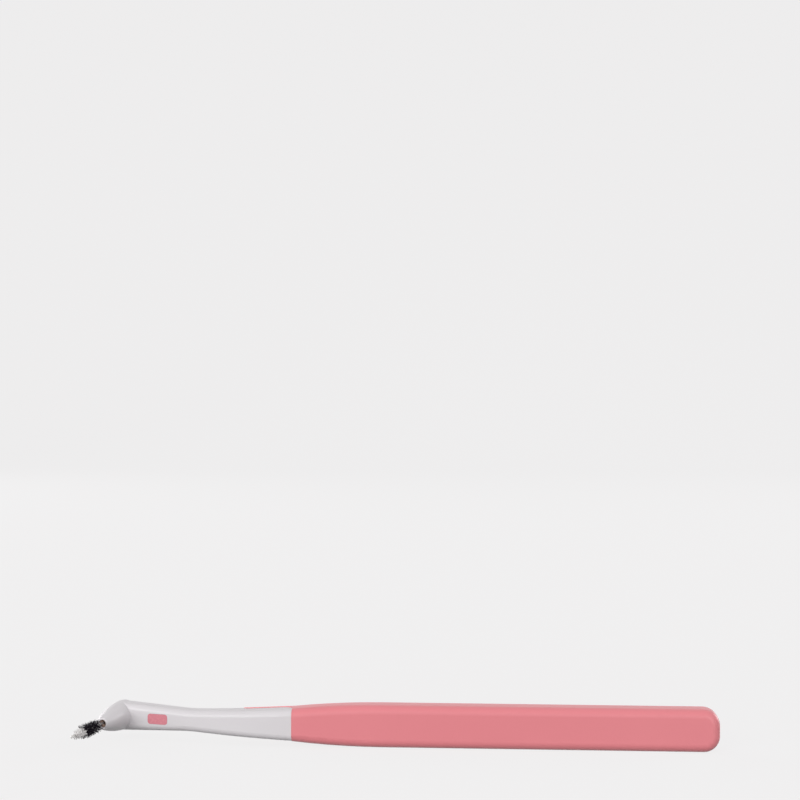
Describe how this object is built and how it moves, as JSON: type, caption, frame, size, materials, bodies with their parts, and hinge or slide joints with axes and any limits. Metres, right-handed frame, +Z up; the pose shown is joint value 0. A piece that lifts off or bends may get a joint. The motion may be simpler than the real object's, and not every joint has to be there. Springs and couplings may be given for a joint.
{
  "type": "interdental brush",
  "caption": "Long-handled angled interdental brush with an overmoulded pink grip, white neck and head, a pink inlay and a twisted-wire brush with black and white bristles.",
  "frame": {"origin": "middle of the grip's straight flat on the narrow side that the brush lies on", "axes": "+X along the handle from the head towards its end, -Y out of the front face that the brush points from, +Z up from the narrow side that it lies on"},
  "size_m": [0.1535, 0.0322, 0.0103],
  "materials": {
    "white_plastic": "satin",
    "pink_soft_touch": "satin",
    "pink_inlay": "satin",
    "steel_wire": "drawn",
    "brown_plug": "matte",
    "black_filament": "satin",
    "white_filament": "satin"
  },
  "bodies": {
    "root": {"handle_core": "white_plastic", "grip": "pink_soft_touch", "colour_inlay": "pink_inlay", "twisted_wire": "steel_wire", "wire_plug": "brown_plug", "black_bristles": "black_filament", "white_bristles": "white_filament"}
  },
  "joints": []
}
